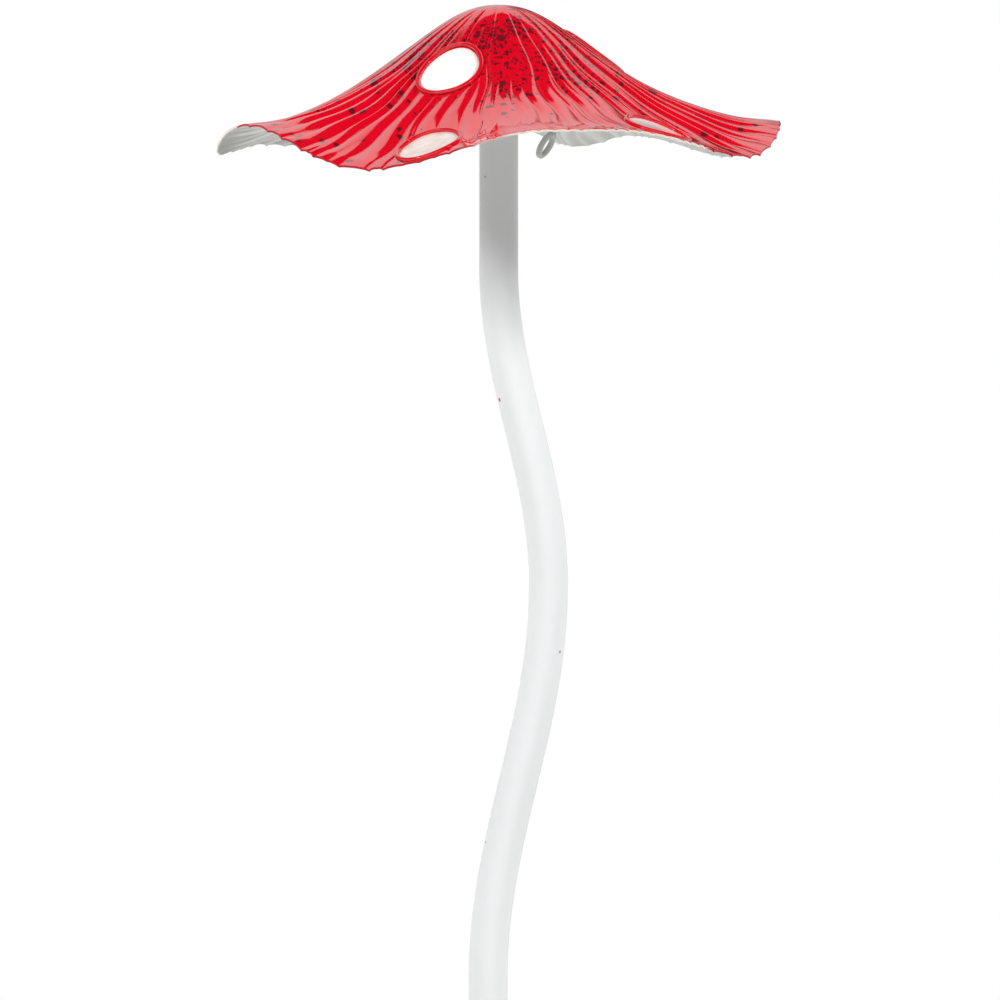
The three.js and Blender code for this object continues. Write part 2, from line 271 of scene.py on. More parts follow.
redLacquer = makeRedLacquer(redLacquerLook)
insidePaint = makePaint("sprayedGreyWhiteInside", "#F8F9F6", "#F0F1ED", 0.24, 5.0, 0.006, paintedCreaseShade={
    # Painted shade greys the hollows between the creases, so that the ribs stand out paler.
    "colour": "#C9CAC5", "deep": 0.0, "shallow": 0.5 * mm})
hemPaint = makePaint("creamWhiteCutEdge", "#F6EEE2", "#EADFD0", 0.45, 1.2, 0.04, run={
    # The dipped lacquer has run round the sheet's edge from the middle to the left, and again at the right tip.
    # It left the paint bare right of the stem and at the left tip.
    "colour": "#C00A22", "from": 6 * mm, "to": -10 * mm, "bareAgain": -103 * mm, "again": 92 * mm,
    "fade": 3 * mm, "sway": 30 * mm})
stemPaint = makePaint("sprayedWhiteStem", "#F5F6F7", "#F0F1F2", 0.3, 2.2, 0.04, marks=[
    # x, y, z and radius in mm, and the colour.
    (4.95, -3.6, 397.5, 1.1, "#D8303C"),
    (5.4, -3.4, 399.5, 0.8, "#D8303C"),
    (-1.24, -5.7, 489.5, 0.7, "#C4C6C3"),
    (29.7, -4.7, 293.4, 0.8, "#9A9C98"),
    (-0.8, -2.7, 214.7, 0.7, "#A4A6A2"),
])
eyePaint = makePaint("thinGreyWhiteWirePaint", "#DCDDD9", "#C6C8C3", 0.36, 0.9, 0.05)
platePaint = makePaint("sprayedWhiteCrownPlate", "#EDEDEA", "#E2E2DD", 0.42, 1.6, 0.05)
turnedSteel = makeSteel("turnedZincPlatedSteel", "#C6CACD", "#A2A8AD", 0.3, (60, 60, 1 / (0.6 * mm)))
drawnSteel = makeSteel("drawnBrightSteelBar", "#BDC0C1", "#84888A", 0.33, (1 / (0.7 * mm), 1 / (0.7 * mm), 14))
fastenerSteel = makeSteel("zincPlatedFastenerSteel", "#CACCC8", "#A9ACA4", 0.27, (60, 60, 1 / (0.4 * mm)))


def newTree(name, sizes):
    # A tree with an input for each size, and these inputs by name.
    tree = bpy.data.node_groups.new(name, "GeometryNodeTree")
    tree.interface.new_socket("Geometry", in_out="INPUT", socket_type="NodeSocketGeometry")
    for label, value in sizes.items():
        kind = "NodeSocketInt" if isinstance(value, int) else "NodeSocketFloat"
        tree.interface.new_socket(label, in_out="INPUT", socket_type=kind)
    tree.interface.new_socket("Geometry", in_out="OUTPUT", socket_type="NodeSocketGeometry")
    given = tree.nodes.new("NodeGroupInput").outputs
    return tree, {label: given[label] for label in ("Geometry", *sizes)}


def endTree(tree, geometry, material=None):
    made = addNode(tree, "GeometryNodeRealizeInstances", {0: geometry})
    if material:
        made = addNode(tree, "GeometryNodeSetMaterial", {0: made, "Material": material})
    addNode(tree, "NodeGroupOutput", {0: made})
    return tree


def linked(name, data):
    piece = bpy.data.objects.new(name, data)
    scene.collection.objects.link(piece)
    return piece


def keepResult(holder, name):
    # Keeps what the holder's modifiers make as a plain mesh.
    depsgraph = bpy.context.evaluated_depsgraph_get()
    mesh = bpy.data.meshes.new_from_object(
        holder.evaluated_get(depsgraph), preserve_all_data_layers=True, depsgraph=depsgraph)
    mesh.name = name
    holder.modifiers.clear()
    bpy.data.objects.remove(holder)
    return linked(name, mesh)


def growPiece(name, makeTree, sizes, holder=None, finish=()):
    # Runs the tree and then the finishing modifiers on the holder, or on an empty mesh.
    tree = makeTree(sizes)
    holder = holder or linked(name + "Start", bpy.data.meshes.new(name + "Start"))
    form = holder.modifiers.new("form", "NODES")
    form.node_group = tree
    for socket in tree.interface.items_tree:
        if socket.in_out == "INPUT" and socket.name in sizes:
            form[socket.identifier] = sizes[socket.name]
    for kind, settings in finish:
        modifier = holder.modifiers.new(kind.lower(), kind)
        for setting, value in settings.items():
            setattr(modifier, setting, value)
    return keepResult(holder, name)


def fitPiece(piece, body, node):
    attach(piece, body)
    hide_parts(node)
    print(" ", piece.name, len(piece.data.polygons), "faces")


# The cap is a flat blank that carries its creases and spots, pressed to form by a tree.
print("cap")

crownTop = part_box("cap_shell")[1][2]
capAxis = 4.4 * mm

capRadius = 116.3 * mm

cap = {
    "press": {  # what the tree takes
        "Cap radius": capRadius, "Shoulder radius": 54.7 * mm, "Bell power": 2.2, "Bell depth": 60.5 * mm,
        "Wave start": 42.0 * mm, "Wave power": 1.7, "Crease start": 8.0 * mm, "Crease full": 56.0 * mm,
        "Arch height": 0.45 * mm, "Dent height": 0.3 * mm, "Dent size": 15.0 * mm, "Lip width": 7.0 * mm,
        "Lip drop": 0.55 * mm, "Lip power": 1.3, "Dip start": 72.0 * mm, "Dip depth": 0.8 * mm,
        "Dip power": 1.5, "Sheet thickness": 0.8 * mm, "Bead radius": 1.0 * mm, "Cap axis": capAxis,
        "Crown top": crownTop,
    },
    "brimHigh": 47.0 * mm,
    "brimLow": 64.6 * mm,
    "brimTurns": [  # direction in degrees, share of the way from high to low
        (4, 0.06), (36, 1), (62, 0.57), (73.5, 0.85), (94, 0.06), (138, 0.76), (148, 0.7), (172, 0.83),
        (209, 0), (241.5, 0.93), (281, 0), (293, 0.01), (333, 0.73)],
    "longCreases": 32,
    "creaseDepth": 1.5 * mm,
    "creaseSharpness": 1.5,
    "creaseFade": 90.0 * mm,
    "creaseAtHem": 0.28,
    # Direction, spread and share: where creases are deeper or shallower, and where they end before the hem.
    "creaseChange": [(280, 24, -0.55), (45, 26, -0.8), (352, 28, 0.5), (195, 28, 0.4)],
    "hemChange": [(188, 17, -0.9), (4, 16, -0.65)],
    "startVary": (-3, 5),  # mm
    "shortStart": (28 * mm, 52 * mm),
    "shortRun": 32.0 * mm,
    "calmDelay": 30.0 * mm,
    "creaseSway": 0.27,
    "creaseVary": (0.4, 1.35),
    "wander": (0.8 * mm, 34 * mm),  # how far a crease strays aside, and over which length it swings back
    "wanderStart": 15 * mm,
    "wanderRun": 40 * mm,
    "betweenDepth": (0.25 * mm, 0.6 * mm),  # odd creases half-way between two others
    "betweenStart": (52 * mm, 82 * mm),
    "betweenRun": 14 * mm,
    "betweenShare": 0.55,
    "betweenWidth": 0.17,
    "lineDepth": 0.38 * mm,  # a fine line that sharpens the bottom of each crease
    "lineWidth": 1.8 * mm,
    "lineVary": (0.55, 1.2),
    "lineStart": (6 * mm, 28 * mm),
    "lineEarly": (0, 14),  # mm
    "lineRun": 10 * mm,
    "spokesPerCrease": 8,
    "rings": 88,
    "ringSpread": (0.72, 0.28, 0.6),  # share of even steps, share of gathered ones and how much they gather
    "hemRings": [1.0 * mm, 0.45 * mm],  # distance of the last rings but one from the hem
    "hemScallop": 0.65 * mm,
    "scallopPower": 14,
    "fineFolds": (312, 24, 1.1),  # direction, spread, share: deeper odd creases, which start nearer the crown
    "fineEarlier": 24 * mm,
    "spotRadius": 12.0 * mm,
    "crownStretch": 1.02,
    "crownSpots": 60,  # mm; spots nearer the axis lie on the crown
    "spots": [  # radius in mm, direction in degrees, share of the crease depth that still shows in the enamel
        (42.5, 26, 0.0), (47, 128, 0.0), (47.7, 245, 0.0), (94, 47, 0.15), (92, 103, 0.15), (100.5, 253.5, 0.2),
        (95, 313.5, 0.0)],
    "spotMargin": 0.4 * mm,
    "spotFade": 3.6 * mm,
    "beadLift": (0.7 * mm, 0.3 * mm),  # on the crown, on the brim
    "beadSteps": 96,
    "beadEdge": 2 * mm,  # far enough outside the enamel to be red
    "seed": 7,
}


def ease(t):
    return (1 - math.cos(math.pi * min(max(t, 0), 1))) / 2


def brimDrop(angle):
    turns = cap["brimTurns"] + [(cap["brimTurns"][0][0] + 360, cap["brimTurns"][0][1])]
    direction = turns[0][0] + (angle / degree - turns[0][0]) % 360
    for (start, low), (end, high) in zip(turns, turns[1:]):
        if direction <= end:
            share = low + (high - low) * ease((direction - start) / (end - start))
            return cap["brimHigh"] + (cap["brimLow"] - cap["brimHigh"]) * share


def spotGap(radius, angle):
    # How far a point lies outside the nearest spot's edge, and how much crease shows there.
    best, shown = 1, 1
    for spotRadius, direction, share in cap["spots"]:
        turn = angle - direction * degree
        stretch = cap["crownStretch"] if spotRadius < cap["crownSpots"] else 1
        along = (radius * math.cos(turn) - spotRadius * mm) / stretch
        gap = math.hypot(along, radius * math.sin(turn)) - cap["spotRadius"]
        if gap < best:
            best, shown = gap, share
    fade = ease((best - cap["spotMargin"]) / cap["spotFade"])
    return best, shown + (1 - shown) * fade


def nearness(angle, direction, spread):
    aside = (angle / degree - direction + 180) % 360 - 180
    return math.exp(-(aside / spread) ** 2)


def strengthAt(angle, changes):
    strength = 1
    for direction, spread, change in changes:
        strength *= 1 + change * nearness(angle, direction, spread)
    return strength


def wander(radius, angle):
    # Creases in pressed sheet don't run dead straight: they stray a little to each side on their way out.
    far, length = cap["wander"]
    out = radius / length
    sway = math.sin(out * 2 * math.pi + 5 * angle) + 0.6 * math.sin(out * 3.7 - 8 * angle)
    begun = ease((radius - cap["wanderStart"]) / cap["wanderRun"])
    return angle + far * sway * begun / max(radius, cap["wanderStart"])


def spokePlan():
    # Each spoke's angle, its gap to the nearest crease in pitches, that crease, the share of its depth here,
    # the crease before the spoke and how near the spoke is to the middle between the two.
    rng = random.Random(cap["seed"])
    count = 2 * cap["longCreases"]
    creases = []
    for number in range(count):
        isLong = number % 2 == 1
        delay = cap["calmDelay"] * max(1 - strengthAt(number * 2 * math.pi / count, cap["creaseChange"]), 0)
        if isLong:
            start = cap["press"]["Crease start"] + rng.uniform(*cap["startVary"]) * mm + delay
            full = cap["press"]["Crease full"] + delay
        else:
            start = rng.uniform(*cap["shortStart"]) + delay
            full = min(start + cap["shortRun"], capRadius)
        creases.append({
            "angle": (number + rng.uniform(-1, 1) * cap["creaseSway"]) * 2 * math.pi / count,
            "depth": cap["creaseDepth"] * rng.uniform(*cap["creaseVary"]),
            "start": start,
            "full": full,
            "lineDepth": cap["lineDepth"] * rng.uniform(*cap["lineVary"]),
            "lineStart": (rng.uniform(*cap["lineStart"]) if isLong
                          else start - rng.uniform(*cap["lineEarly"]) * mm),
            "between": rng.uniform(*cap["betweenDepth"]) if rng.random() < cap["betweenShare"] else 0,
            "betweenStart": rng.uniform(*cap["betweenStart"]),
        })
        direction, spread, share = cap["fineFolds"]
        fine = share * nearness(creases[-1]["angle"], direction, spread)
        creases[-1]["between"] += fine * cap["betweenDepth"][0]
        creases[-1]["betweenStart"] -= min(fine, 1) * cap["fineEarlier"]
    spokes = []
    perCrease = cap["spokesPerCrease"]
    for step in range(count * perCrease):
        number, part = divmod(step, perCrease)
        share = part / perCrease
        here, following = creases[number], creases[(number + 1) % count]
        wrap = 2 * math.pi if number + 1 == count else 0
        angle = here["angle"] + (following["angle"] + wrap - here["angle"]) * share
        nearest = here if share <= 0.5 else following
        middle = max(1 - abs(share - 0.5) / cap["betweenWidth"], 0) ** 1.5
        strength = strengthAt(angle, cap["creaseChange"])
        spokes.append((angle, min(share, 1 - share), nearest, strength, here, middle))
    return spokes


def ringPlan():
    # Rings lie closer together at the crown, and two close ones shape the hem.
    even, gathered, power = cap["ringSpread"]
    shares = [ring / cap["rings"] for ring in range(1, cap["rings"])]
    radii = [capRadius * (even * t + gathered * t ** power) for t in shares] + [capRadius]
    radii[-3:-1] = [capRadius - gap for gap in cap["hemRings"]]
    return radii


def capBlank():
    # A flat round mesh. Each point carries what the press does to it there.
    spokes = spokePlan()
    count, rings, radius = len(spokes), cap["rings"], capRadius
    places, carried = [(0, 0, 0)], [(brimDrop(0), 1, 0, 0)]
    for ringRadius in ringPlan():
        for spokeAngle, gap, crease, strength, before, middle in spokes:
            angle = wander(ringRadius, spokeAngle)
            calm = strengthAt(angle, cap["hemChange"])
            scallop = cap["hemScallop"] * calm * min(strength, 1) ** 2
            r = ringRadius - scallop * (ringRadius / radius) ** cap["scallopPower"] * (1 - (1 - 2 * gap) ** 2)
            edge, shown = spotGap(r, angle)
            grown = ease((r - crease["start"]) / (crease["full"] - crease["start"]))
            toHem = ease((r - cap["creaseFade"]) / (radius - cap["creaseFade"]))
            grown *= 1 - (1 - cap["creaseAtHem"] * calm) * toHem
            aside = gap * math.pi / cap["longCreases"] * r
            line = crease["lineDepth"] * ease((r - crease["lineStart"]) / cap["lineRun"])
            line *= ease(1 - aside / (cap["lineWidth"] / 2))
            fold = crease["depth"] * strength * grown * (1 - 2 * gap) ** cap["creaseSharpness"]
            odd = before["between"] * middle * ease((r - before["betweenStart"]) / cap["betweenRun"])
            depth = (fold + (line + odd) * (1 - (1 - calm) * toHem)) * shown
            places.append((r * math.cos(angle), r * math.sin(angle), 0))
            carried.append((brimDrop(angle), edge, depth, shown))
    faces = [(0, 1 + i, 1 + (i + 1) % count) for i in range(count)]
    for ring in range(rings - 1):
        a, b = 1 + ring * count, 1 + (ring + 1) * count
        faces += [(a + i, b + i, b + (i + 1) % count, a + (i + 1) % count) for i in range(count)]

    edges = []
    steps = cap["beadSteps"]
    line = cap["spotRadius"] + cap["press"]["Bead radius"]
    for spotRadius, direction, _ in cap["spots"]:  # the bead's line round each spot
        first = len(places)
        onBrim = spotRadius > cap["crownSpots"]
        stretch = 1 if onBrim else cap["crownStretch"]
        for step in range(steps):
            turn = step * 2 * math.pi / steps
            x = spotRadius * mm + line * math.cos(turn) * stretch
            y = line * math.sin(turn)
            r, angle = math.hypot(x, y), direction * degree + math.atan2(y, x)
            places.append((r * math.cos(angle), r * math.sin(angle), 0))
            carried.append((brimDrop(angle), cap["beadEdge"], -cap["beadLift"][onBrim], 0))
            edges.append((first + step, first + (step + 1) % steps))
    mesh = bpy.data.meshes.new("capBlank")
    mesh.from_pydata(places, edges, faces)
    for number, label in enumerate(("brimDrop", "spotEdge", "creaseDrop", "creaseShown")):
        layer = mesh.attributes.new(label, "FLOAT", "POINT")
        layer.data.foreach_set("value", [row[number] for row in carried])
    return linked("capBlank", mesh)


def capTree(sizes):
    tree, known = newTree("pressCap", sizes)
    place = addNode(tree, "GeometryNodeInputPosition")
    known["radius"] = addNode(tree, "VectorMath", {0: place}, operation="LENGTH")
    for label in ("brimDrop", "creaseDrop", "creaseShown"):
        known[label] = addNode(tree, "GeometryNodeInputNamedAttribute", {"Name": label},
                               data_type="FLOAT").outputs["Attribute"]
    known["arch"] = addNode(tree, "MapRange", {
        0: known["radius"], 1: known["Crease start"], 2: known["Crease full"], 4: known["Arch height"],
    }, interpolation_type="SMOOTHSTEP")
    reckon(tree, known, [("finer", "/", 1.0, "Dent size")])
    known["dents"] = addNode(tree, "TexNoise", {"Vector": place, "Scale": known["finer"], "Detail": 1})
    for name, outTo in (("bell", "radius"), ("hemBell", "Cap radius")):
        # The bell, here and at the hem: slow at the crown, fast at the shoulder, slow at the brim.
        reckon(tree, known, [
            ("outward", "/", outTo, "Shoulder radius"),
            ("steep", "POWER", "outward", "Bell power"),
            ("steepAndOne", "+", "steep", 1.0),
            ("share", "/", "steep", "steepAndOne"),
            (name, "*", "share", "Bell depth"),
        ])
    reckon(tree, known, [
        # The brim's waves, which grow towards the hem.
        ("waveRoom", "-", "hemBell", "brimDrop"),
        ("waveUp", "RANGE", "radius", "Wave start", "Cap radius"),
        ("waveShare", "POWER", "waveUp", "Wave power"),
        ("wave", "*", "waveRoom", "waveShare"),
        ("pressed", "-", "wave", "bell"),
        # Between its creases the sheet arches up, with shallow dents.
        ("archShown", "*", "arch", "creaseShown"),
        ("smoothed", "+", "pressed", "archShown"),
        ("dentSwing", "-", "dents", 0.5),
        ("dented", "*", "dentSwing", "Dent height"),
        ("dentShown", "*", "dented", "creaseShown"),
        ("arched", "+", "smoothed", "dentShown"),
        ("creased", "-", "arched", "creaseDrop"),
        # At the hem it bends down to a narrow lip.
        ("lipStart", "-", "Cap radius", "Lip width"),
        ("lip", "RANGE", "radius", "lipStart", "Cap radius"),
        ("lipShare", "POWER", "lip", "Lip power"),
        ("lipDown", "*", "lipShare", "Lip drop"),
        ("lipped", "-", "creased", "lipDown"),
        # Before the hem the brim dips a little, so that it runs out flatter.
        ("dip", "RANGE", "radius", "Dip start", "Cap radius"),
        ("dipShare", "POWER", "dip", "Dip power"),
        ("dipTurn", "*", "dipShare", math.pi),
        ("dipWave", "SINE", "dipTurn"),
        ("dipDown", "*", "dipWave", "Dip depth"),
        ("height", "-", "lipped", "dipDown"),
    ])
    lift = addNode(tree, "CombineXYZ", {"Z": known["height"]})
    formed = addNode(tree, "GeometryNodeSetPosition", {"Geometry": known["Geometry"], "Offset": lift})

    # The bead lines are the edges that no face uses.
    neighbours = addNode(tree, "GeometryNodeInputMeshEdgeNeighbors")
    loose = addNode(tree, "FunctionNodeCompare", {2: neighbours, 3: 0}, data_type="INT", operation="EQUAL")
    parts = addNode(tree, "GeometryNodeSeparateGeometry", {0: formed, 1: loose}, domain="EDGE").outputs
    beadLine = addNode(tree, "GeometryNodeMeshToCurve", {0: parts["Selection"]})
    beadRound = addNode(tree, "GeometryNodeCurvePrimitiveCircle", {
        "Resolution": 10, "Radius": known["Bead radius"]})
    beads = addNode(tree, "GeometryNodeCurveToMesh", {"Curve": beadLine, "Profile Curve": beadRound})
    beadsRed = addNode(tree, "GeometryNodeSetMaterial", {0: beads, "Material": redLacquer})

    # Sheet thickness: the inner face is drawn out of a turned copy of the outer one.
    outer = addNode(tree, "GeometryNodeSetMaterial", {0: parts["Inverted"], "Material": redLacquer})
    outerSmooth = addNode(tree, "GeometryNodeSetShadeSmooth", {0: outer})
    turned = addNode(tree, "GeometryNodeFlipFaces", {0: parts["Inverted"]})
    inward = addNode(tree, "GeometryNodeExtrudeMesh", {
        "Mesh": turned, "Offset Scale": known["Sheet thickness"], "Individual": False}, mode="FACES").outputs
    innerPaint = addNode(tree, "GeometryNodeSetMaterial", {
        0: inward["Mesh"], 1: inward["Top"], "Material": insidePaint})
    hem = addNode(tree, "GeometryNodeSetMaterial", {0: innerPaint, 1: inward["Side"], "Material": hemPaint})
    hemFlat = addNode(tree, "GeometryNodeSetShadeSmooth", {0: hem, 1: inward["Top"]})
    sheet = addNode(tree, "GeometryNodeJoinGeometry", {0: outerSmooth})
    tree.links.new(hemFlat.outputs[0], sheet.inputs[0])
    closed = addNode(tree, "GeometryNodeMergeByDistance", {0: sheet, "Distance": 0.002 * mm})
    whole = addNode(tree, "GeometryNodeJoinGeometry", {0: closed})
    tree.links.new(beadsRed.outputs[0], whole.inputs[0])
    at = addNode(tree, "CombineXYZ", {"X": known["Cap axis"], "Z": known["Crown top"]})
    return endTree(tree, addNode(tree, "GeometryNodeTransform", {0: whole, "Translation": at}))


pressedCap = growPiece("pressedCap", capTree, cap["press"], capBlank())
fitPiece(pressedCap, "cap", "cap_shell")


# The stem is a tube swept along its wavy centre line.
print("stem")

stem = {
    "Radius": 8.0 * mm, "Wall": 1.2 * mm, "Foot": 6.15 * mm, "Length": 536.0 * mm,
    "Lower bend": 158.0 * mm, "Bulge height": 321.0 * mm, "Upper bend": 452.0 * mm,
    "Bulge offset": 24.9 * mm, "Cap axis": capAxis, "Steps": 220, "Sides": 72,
}


def stemTree(sizes):
    tree, known = newTree("bentStem", sizes)
    line = addNode(tree, "GeometryNodeCurvePrimitiveLine", {"End": (0, 0, 1)})
    steps = addNode(tree, "GeometryNodeResampleCurve", {"Curve": line, "Count": known["Steps"]})
    place = addNode(tree, "GeometryNodeInputPosition")
    known["along"] = addNode(tree, "SeparateXYZ", {0: place}).outputs["Z"]
    reckon(tree, known, [("height", "MULTIPLY_ADD", "along", "Length", "Foot")])
    for name, low, high in (("out", "Lower bend", "Bulge height"), ("back", "Bulge height", "Upper bend")):
        # An even ease: half of one minus the cosine of the way from one height to the next.
        reckon(tree, known, [
            ("share", "RANGE", "height", low, high),
            ("turn", "*", "share", math.pi),
            ("swing", "COSINE", "turn"),
            (name, "MULTIPLY_ADD", "swing", -0.5, 0.5),
        ])
    reckon(tree, known, [
        ("outGone", "*", "out", "Bulge offset"),
        ("return", "-", "Cap axis", "Bulge offset"),
        ("backGone", "*", "back", "return"),
        ("side", "+", "outGone", "backGone"),
    ])
    bent = addNode(tree, "CombineXYZ", {"X": known["side"], "Z": known["height"]})
    course = addNode(tree, "GeometryNodeSetPosition", {"Geometry": steps, "Position": bent})
    section = addNode(tree, "GeometryNodeCurvePrimitiveCircle", {
        "Resolution": known["Sides"], "Radius": known["Radius"]})
    tube = addNode(tree, "GeometryNodeCurveToMesh", {"Curve": course, "Profile Curve": section})
    return endTree(tree, addNode(tree, "GeometryNodeSetShadeSmooth", {0: tube}), stemPaint)


stemTube = growPiece("stemTube", stemTree, stem, finish=[
    ("SOLIDIFY", {"thickness": stem["Wall"], "offset": -1, "use_even_offset": True}),
    ("BEVEL", {"width": 0.25 * mm, "segments": 2, "limit_method": "ANGLE", "angle_limit": 50 * degree}),
])
fitPiece(stemTube, "stem", "stem_tube")


# Each turned piece is an outline of (radius, height) spun round an axis.
print("turned pieces")

sharpAngle = 32 * degree


def finishMetal(name, made, material, bevel):
    # Breaks the sharp edges, then shades smooth all that isn't an edge.
    mesh = bpy.data.meshes.new(name + "Raw")
    made.to_mesh(mesh)
    made.free()
    mesh.materials.append(material)
    mesh.polygons.foreach_set("use_smooth", [True] * len(mesh.polygons))
    mesh.set_sharp_from_angle(angle=sharpAngle)
    holder = linked(name + "Raw", mesh)
    edge = holder.modifiers.new("edge", "BEVEL")
    edge.width, edge.segments, edge.limit_method, edge.angle_limit = bevel, 2, "ANGLE", sharpAngle
    piece = keepResult(holder, name)
    # Where a bevel runs out it leaves faces without area.
    cleaned = bmesh.new()
    cleaned.from_mesh(piece.data)
    bmesh.ops.dissolve_degenerate(cleaned, dist=0.0005 * mm, edges=cleaned.edges)
    cleaned.to_mesh(piece.data)
    cleaned.free()
    return piece


def turnPiece(name, outline, material, sides=64, axis=0, bevel=0.2 * mm):
    closed = outline[0] == outline[-1]
    points = outline[:-1] if closed else outline
    made = bmesh.new()
    rings = []
    for radius, height in points:
        turns = [i * 2 * math.pi / sides for i in range(1 if radius == 0 else sides)]
        rings.append([made.verts.new((axis + radius * math.cos(turn), radius * math.sin(turn), height))
                      for turn in turns])
    pairs = list(zip(rings, rings[1:])) + ([(rings[-1], rings[0])] if closed else [])
    for lower, upper in pairs:
        for i in range(sides):
            corners = [lower[i % len(lower)], lower[(i + 1) % len(lower)],
                       upper[(i + 1) % len(upper)], upper[i % len(upper)]]
            made.faces.new(list(dict.fromkeys(corners)))
    bmesh.ops.recalc_face_normals(made, faces=made.faces)
    return finishMetal(name, made, material, bevel)


def ringOutline(inner, outer, base, height):
    return [(inner, base), (outer, base), (outer, base + height), (inner, base + height), (inner, base)]


spike = {"radius": 4 * mm, "depth": 180 * mm, "point": 30 * mm, "tip": 0.75 * mm, "tipBreak": 0.5 * mm,
         "socket": 30 * mm}
groundSpike = turnPiece("groundSpike", [
    (0, -spike["depth"]),
    (spike["tip"] * 0.6, -spike["depth"]),
    (spike["tip"], -spike["depth"] + spike["tipBreak"]),
    (spike["radius"], -spike["depth"] + spike["point"]),
    (spike["radius"], -120 * mm),  # the shaft in three stretches
    (spike["radius"], -60 * mm),
    (spike["radius"], spike["socket"]),
    (0, spike["socket"]),
], drawnSteel, bevel=0.12 * mm)
fitPiece(groundSpike, "spike", "ground_spike")

sleeve = {"collarRadius": 8 * mm, "collarHeight": 6 * mm, "spigotRadius": 6.5 * mm, "top": 48 * mm,
          "socketRadius": 4.3 * mm, "socketDepth": 30.3 * mm, "chamfer": 1 * mm}
spigotSleeve = turnPiece("spigotSleeve", [
    (0, sleeve["socketDepth"]),
    (sleeve["socketRadius"], sleeve["socketDepth"]),
    (sleeve["socketRadius"], 0),
    (sleeve["collarRadius"], 0),
    (sleeve["collarRadius"], sleeve["collarHeight"]),
    (sleeve["spigotRadius"], sleeve["collarHeight"]),
    (sleeve["spigotRadius"], sleeve["top"] - sleeve["chamfer"]),
    (sleeve["spigotRadius"] - sleeve["chamfer"], sleeve["top"]),
    (0, sleeve["top"]),
], turnedSteel)
fitPiece(spigotSleeve, "spike", "spigot_sleeve")

hole = 3.3 * mm  # clearance round the stud in the plug, the washer, the nut and the plate
plug = {"base": 520.15 * mm, "radius": 6.5 * mm, "tubeTop": 542.15 * mm, "flangeRadius": 8 * mm,
        "top": 544.15 * mm}
stemPlug = turnPiece("stemPlug", [
    (hole, plug["base"]),
    (plug["radius"], plug["base"]),
    (plug["radius"], plug["tubeTop"]),
    (plug["flangeRadius"], plug["tubeTop"]),
    (plug["flangeRadius"], plug["top"]),
    (hole, plug["top"]),
    (hole, plug["base"]),
], turnedSteel, axis=capAxis)
fitPiece(stemPlug, "stem", "stem_plug")

washer = {"radius": 6 * mm, "height": 1.6 * mm}
lockWasher = turnPiece("lockWasher", ringOutline(hole, washer["radius"], plug["top"], washer["height"]),
                       fastenerSteel, axis=capAxis)
fitPiece(lockWasher, "stem", "lock_washer")


def hexNut(name, size, material, sides=72):
    # A hexagon whose corners are turned off, which leaves the curved chamfer lines on its flats.
    made = bmesh.new()
    half = size["acrossFlats"] / 2
    face = half / math.cos(30 * degree) - size["chamfer"]
    rows = []
    for i in range(sides):
        turn = i * 2 * math.pi / sides
        flat = half / math.cos((turn + 30 * degree) % (60 * degree) - 30 * degree)
        drop = max(flat - face, 0) / 2
        profile = [(hole, 0), (min(flat, face), 0), (flat, drop), (flat, size["height"] - drop),
                   (min(flat, face), size["height"]), (hole, size["height"])]
        rows.append([made.verts.new((capAxis + r * math.cos(turn), r * math.sin(turn), size["base"] + z))
                     for r, z in profile])
    for row, following in zip(rows, rows[1:] + rows[:1]):
        for k in range(6):
            made.faces.new((row[k], row[(k + 1) % 6], following[(k + 1) % 6], following[k]))
    bmesh.ops.remove_doubles(made, verts=made.verts, dist=0.0005 * mm)
    bmesh.ops.recalc_face_normals(made, faces=made.faces)
    return finishMetal(name, made, material, size["bevel"])


nut = {"base": 545.9 * mm, "acrossFlats": 10 * mm, "height": 5 * mm, "chamfer": 0.6 * mm, "bevel": 0.08 * mm}
lockNut = hexNut("lockNut", nut, fastenerSteel)
fitPiece(lockNut, "nut", "lock_nut")


# The stud is a turned blank with its thread wound on by a tree.
stud = {
    "thread": {
        "Core radius": 2.55 * mm, "Thread radius": 0.52 * mm, "Pitch": 1.0 * mm, "Turns": 20,
        "Steps per turn": 28, "Thread base": 530.9 * mm, "Axis": capAxis,
    },
    "foot": 530.15 * mm, "footRadius": 2.2 * mm, "coreStart": 530.95 * mm, "coreEnd": 551.2 * mm,
    "neck": 551.4 * mm, "neckRadius": 3 * mm, "headRadius": 6.5 * mm, "headHeight": 2.5 * mm,
}


def threadTree(sizes):
    tree, known = newTree("windThread", sizes)
    reckon(tree, known, [("rise", "*", "Pitch", "Turns")])
    coil = addNode(tree, "GeometryNodeCurveSpiral", {
        "Resolution": known["Steps per turn"], "Rotations": known["Turns"], "Height": known["rise"],
        "Start Radius": known["Core radius"], "End Radius": known["Core radius"], "Reverse": False})
    # The diamond section stays upright on its way up, so that one corner always makes the crest.
    upright = addNode(tree, "GeometryNodeSetCurveNormal", {"Curve": coil}, mode="Z_UP")
    section = addNode(tree, "GeometryNodeCurvePrimitiveCircle", {
        "Resolution": 4, "Radius": known["Thread radius"]})
    ridge = addNode(tree, "GeometryNodeCurveToMesh", {
        "Curve": upright, "Profile Curve": section, "Fill Caps": True})
    at = addNode(tree, "CombineXYZ", {"X": known["Axis"], "Z": known["Thread base"]})
    placed = addNode(tree, "GeometryNodeTransform", {0: ridge, "Translation": at})
    flat = addNode(tree, "GeometryNodeSetShadeSmooth", {0: placed, "Shade Smooth": False})
    both = addNode(tree, "GeometryNodeJoinGeometry", {0: known["Geometry"]})
    tree.links.new(flat.outputs[0], both.inputs[0])
    return endTree(tree, both, fastenerSteel)


